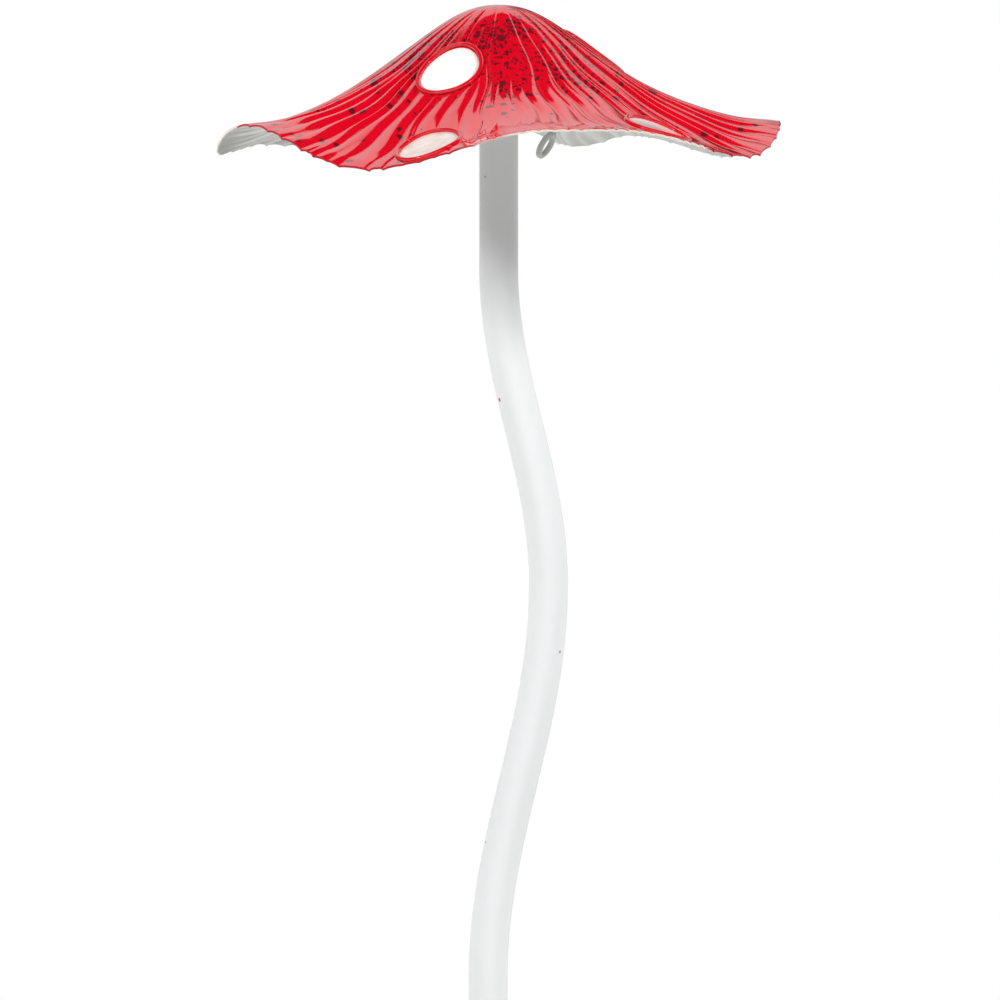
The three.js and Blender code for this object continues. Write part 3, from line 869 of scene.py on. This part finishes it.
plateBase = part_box("crown_plate")[0][2]
core = stud["thread"]["Core radius"]
head = plateBase + 2 * mm
studBlank = turnPiece("studBlank", [
    (0, stud["foot"]),
    (stud["footRadius"], stud["foot"]),
    (core, stud["coreStart"]),
    (core, stud["coreEnd"]),
    (stud["neckRadius"], stud["neck"]),
    (stud["neckRadius"], head),
    (stud["headRadius"], head),
    (stud["headRadius"], head + stud["headHeight"]),
    (0, head + stud["headHeight"]),
], fastenerSteel, axis=capAxis, bevel=0.3 * mm)
capStud = growPiece("capStud", threadTree, stud["thread"], studBlank)
fitPiece(capStud, "cap", "cap_stud")


print("plate and eye")

plate = {"Radius": 20.0 * mm, "Thickness": 2.0 * mm, "Weld count": 40, "Weld size": 0.85 * mm,
         "Weld sunk": 0.35 * mm, "Weld inset": 0.45 * mm, "Base": plateBase, "Axis": capAxis}


def weldTree(sizes):
    # A row of overlapping drops round the plate's upper edge, as a weld leaves them.
    tree, known = newTree("layWeld", sizes)
    reckon(tree, known, [
        ("top", "+", "Base", "Thickness"),
        ("height", "-", "top", "Weld sunk"),
        ("line", "-", "Radius", "Weld inset"),
    ])
    ring = addNode(tree, "GeometryNodeMeshCircle", {"Vertices": known["Weld count"], "Radius": known["line"]})
    at = addNode(tree, "CombineXYZ", {"X": known["Axis"], "Z": known["height"]})
    placed = addNode(tree, "GeometryNodeTransform", {0: ring, "Translation": at})
    drop = addNode(tree, "GeometryNodeMeshIcoSphere", {"Radius": known["Weld size"], "Subdivisions": 2})
    vary = addNode(tree, "FunctionNodeRandomValue", {2: 0.75, 3: 1.05, "Seed": 3}, data_type="FLOAT")
    row = addNode(tree, "GeometryNodeInstanceOnPoints", {"Points": placed, "Instance": drop, "Scale": vary})
    real = addNode(tree, "GeometryNodeRealizeInstances", {0: row})
    smooth = addNode(tree, "GeometryNodeSetShadeSmooth", {0: real})
    both = addNode(tree, "GeometryNodeJoinGeometry", {0: known["Geometry"]})
    tree.links.new(smooth.outputs[0], both.inputs[0])
    return endTree(tree, both, platePaint)


plateBlank = turnPiece("plateBlank", ringOutline(hole, plate["Radius"], plate["Base"], plate["Thickness"]),
                       platePaint, axis=capAxis, sides=96)
crownPlate = growPiece("crownPlate", weldTree, plate, plateBlank)
fitPiece(crownPlate, "cap", "crown_plate")

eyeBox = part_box("hanging_eye")
eye = {"bend": {"Ring radius": 5.0 * mm, "Wire radius": 1.25 * mm}, "lean": 30 * degree, "turn": 70 * degree,
       "centre": (Vector(eyeBox[0]) + Vector(eyeBox[1])) / 2 + Vector((0.35, 0, 0.6)) * mm}


def eyeTree(sizes):
    tree, known = newTree("bendEye", sizes)
    ring = addNode(tree, "GeometryNodeCurvePrimitiveCircle", {"Resolution": 72, "Radius": known["Ring radius"]})
    wire = addNode(tree, "GeometryNodeCurvePrimitiveCircle", {"Resolution": 20, "Radius": known["Wire radius"]})
    bent = addNode(tree, "GeometryNodeCurveToMesh", {"Curve": ring, "Profile Curve": wire})
    return endTree(tree, addNode(tree, "GeometryNodeSetShadeSmooth", {0: bent}), eyePaint)


hangingEye = growPiece("hangingEye", eyeTree, eye["bend"])
stand = Matrix.Rotation(90 * degree, 4, "X")
lean = Matrix.Rotation(eye["lean"], 4, "Y") @ Matrix.Rotation(eye["turn"], 4, "Z") @ stand
hangingEye.data.transform(Matrix.Translation(eye["centre"]) @ lean)
fitPiece(hangingEye, "cap", "hanging_eye")


# White room, pale floor, soft lamps and the photograph's view.
print("studio")

studio = {
    "floorHeight": -0.18, "floorRadius": 2.3, "floorSides": 64, "floorFade": (0.45, 2.0),
    "floorColour": "#E0E0DE", "floorPatches": "#DADAD7", "floorSeen": "#F4F4F2", "floorGlow": 0.5,
    "ambient": 0.21, "mirrored": 0.83, "mirroredAside": 0.02,
    "panelTop": 49.5, "panelRise": (0.35, 0.05), "panelDirection": 12.0, "panelHalfWidth": 43.0,
    "dimRight": 0.2, "dimWidth": 0.11, "dimLevel": 0.0,
    "viewHeight": 2.9, "viewDistance": 12.0, "viewWidth": 0.4124,
    "viewCentre": (4.95 * mm, 0, 355.9 * mm),
    "lampCentre": (0, 0, 0.4),
}

world = bpy.data.worlds.new("whiteStudio")
scene.world = world
world.use_nodes = True
room = world.node_tree
room.nodes.clear()
rays = addNode(room, "LightPath").outputs
facing = addNode(room, "TexCoord").outputs["Generated"]
x, y, z = addNode(room, "SeparateXYZ", {0: facing}).outputs
flatWay = addNode(room, "VectorMath", {0: facing, 1: (1, 1, 0)}, operation="MULTIPLY")
way = addNode(room, "VectorMath", {0: flatWay}, operation="NORMALIZE")
turn = studio["panelDirection"] * degree
ahead = (math.sin(turn), math.cos(turn), 0)
toward = addNode(room, "VectorMath", {0: way, 1: ahead}, operation="DOT_PRODUCT")
# What gloss mirrors: a white panel behind and before the stake, up to a sharp edge, in a darker room.
mirror = reckon(room, {}, [
    # The panel's upper edge rises to both sides, more so on the left.
    ("onLeft", "LESS_THAN", x, 0.0),
    ("rising", "RANGE", "onLeft", 0, 1, -studio["panelRise"][1], studio["panelRise"][0]),
    ("levelled", "MULTIPLY_ADD", x, "rising", z),
    ("below", "RANGE", "levelled", math.sin((studio["panelTop"] + 1) * degree),
     math.sin((studio["panelTop"] - 1) * degree)),
    # Close to the horizon it is whitest, which is what the cap mirrors along its outline.
    ("level", "RANGE", z, -0.1, 0.7, 0.42, 1),
    ("horizon", "RANGE", z, 0.24, 0.03),
    ("lit", "MIX", "horizon", "level", 1.05),
    ("panel", "*", "below", "lit"),
    # Higher up it is only as wide as its half width says.
    ("either", "ABSOLUTE", toward),
    ("broad", "RANGE", "either", math.cos((studio["panelHalfWidth"] + 6) * degree),
     math.cos((studio["panelHalfWidth"] - 6) * degree), 0.1, 1),
    ("high", "RANGE", z, 0.08, 0.4),
    ("around", "MIX", "high", 1.0, "broad"),
    ("panelHere", "*", "panel", "around"),
    # Low behind on the right the room is dim, so that the right wing stays red along its outline.
    ("offRight", "-", x, studio["dimRight"]),
    ("fromRight", "ABSOLUTE", "offRight"),
    ("toRight", "RANGE", "fromRight", studio["dimWidth"] + 0.08, studio["dimWidth"]),
    ("low", "RANGE", z, 0.55, 0.35),
    ("behind", "RANGE", y, 0.1, 0.2),
    ("lowRight", "*", "toRight", "low"),
    ("dim", "*", "lowRight", "behind"),
    ("panelDimmed", "MIX", "dim", "panelHere", studio["dimLevel"]),
])
mirror["mirrored"] = addNode(room, "MapRange", {
    0: mirror["panelDimmed"], 3: studio["mirroredAside"], 4: studio["mirrored"]}, clamp=False)
reckon(room, mirror, [
    ("glossy", "MIX", rays["Is Glossy Ray"], studio["ambient"], "mirrored"),
    ("seen", "MAXIMUM", rays["Is Camera Ray"], rays["Is Transmission Ray"]),
    ("strength", "MIX", "seen", "glossy", 1.0),
])
sky = addNode(room, "Background", {"Color": (1, 1, 1, 1), "Strength": mirror["strength"]})
addNode(room, "OutputWorld", {0: sky})

# For the camera the board is white and glows a little, and it fades out at its edge, so that it meets
# the white room and still takes the shadow. To the light it is pale grey. Seen from below it is clear,
# so that it never hides the object.
floorPaint, tree = blankMaterial("mattWhiteFloorBoard")
spot = addNode(tree, "TexCoord").outputs["Object"]
rays = addNode(tree, "LightPath").outputs
grain = addNode(tree, "TexNoise", {"Vector": spot, "Scale": 6})
outward = addNode(tree, "VectorMath", {0: spot}, operation="LENGTH")
fadeStart, fadeEnd = studio["floorFade"]
fade = addNode(tree, "MapRange", {0: outward, 1: fadeStart, 2: fadeEnd}, interpolation_type="SMOOTHSTEP")
board = reckon(tree, {}, [
    ("shade", "BLEND", grain, studio["floorColour"], studio["floorPatches"]),
    ("colour", "BLEND", rays["Is Camera Ray"], "shade", studio["floorSeen"]),
    ("glow", "MULTIPLY_ADD", rays["Is Camera Ray"], studio["floorGlow"], rays["Is Glossy Ray"]),
    ("gone", "MAXIMUM", fade, addNode(tree, "NewGeometry").outputs["Backfacing"]),
])
matt = addNode(tree, "BsdfPrincipled", {"Base Color": board["colour"], "Roughness": 0.9})
glow = addNode(tree, "Emission", {"Strength": 1.0})
mixed = addNode(tree, "MixShader", {0: board["glow"], 1: matt, 2: glow})
faded = addNode(tree, "MixShader", {0: board["gone"], 1: mixed, 2: addNode(tree, "BsdfTransparent")})
addNode(tree, "OutputMaterial", {0: faded})
floorMesh = bpy.data.meshes.new("floor")
sides = studio["floorSides"]
rim = [(studio["floorRadius"] * math.cos(i * 2 * math.pi / sides),
        studio["floorRadius"] * math.sin(i * 2 * math.pi / sides), studio["floorHeight"]) for i in range(sides)]
floorMesh.from_pydata(rim, [], [tuple(range(sides))])
floorMesh.materials.append(floorPaint)
floor = linked("floor", floorMesh)

# Name, direction and height in degrees, distance, width and height in metres, and watts.
for name, direction, height, distance, width, tall, power in (
        ("leftSoftbox", -54, 30.5, 2.6, 1.5, 0.8, 43),
        ("rightSoftbox", 55, 32, 2.6, 1.5, 0.8, 47),
        ("topSoftbox", 160, 60, 2.4, 1.6, 1.6, 14),
        ("leftRim", -114, 2, 2.6, 0.7, 1.2, 4.5),
        ("rightRim", 118, 2, 2.6, 0.7, 1.2, 3),
        ("leftGlint", -48, 34, 2.6, 0.35, 0.25, 2.6),
        ("rightGlint", 62, 36, 2.6, 0.3, 0.25, 1.6)):
    lamp = bpy.data.lights.new(name, "AREA")
    lamp.shape, lamp.size, lamp.size_y, lamp.energy = "RECTANGLE", width, tall, power
    lampObject = linked(name, lamp)
    away = Vector((math.sin(direction * degree) * math.cos(height * degree),
                   -math.cos(direction * degree) * math.cos(height * degree), math.sin(height * degree)))
    lampObject.location = Vector(studio["lampCentre"]) + away * distance
    lampObject.rotation_euler = away.to_track_quat("Z", "Y").to_euler()
    lampObject.visible_glossy = name.endswith("Glint")  # gloss mirrors the small lamps only

camera = bpy.data.cameras.new("photoView")
camera.sensor_width = 36
camera.lens = camera.sensor_width * studio["viewDistance"] / studio["viewWidth"]
camera.clip_start, camera.clip_end = 1, 200
cameraObject = linked("photoView", camera)
tilt = studio["viewHeight"] * degree
back = Vector((0, -math.cos(tilt), math.sin(tilt)))
cameraObject.location = Vector(studio["viewCentre"]) + back * studio["viewDistance"]
cameraObject.rotation_euler = back.to_track_quat("Z", "Y").to_euler()
scene.camera = cameraObject

scene.view_settings.view_transform = "Standard"
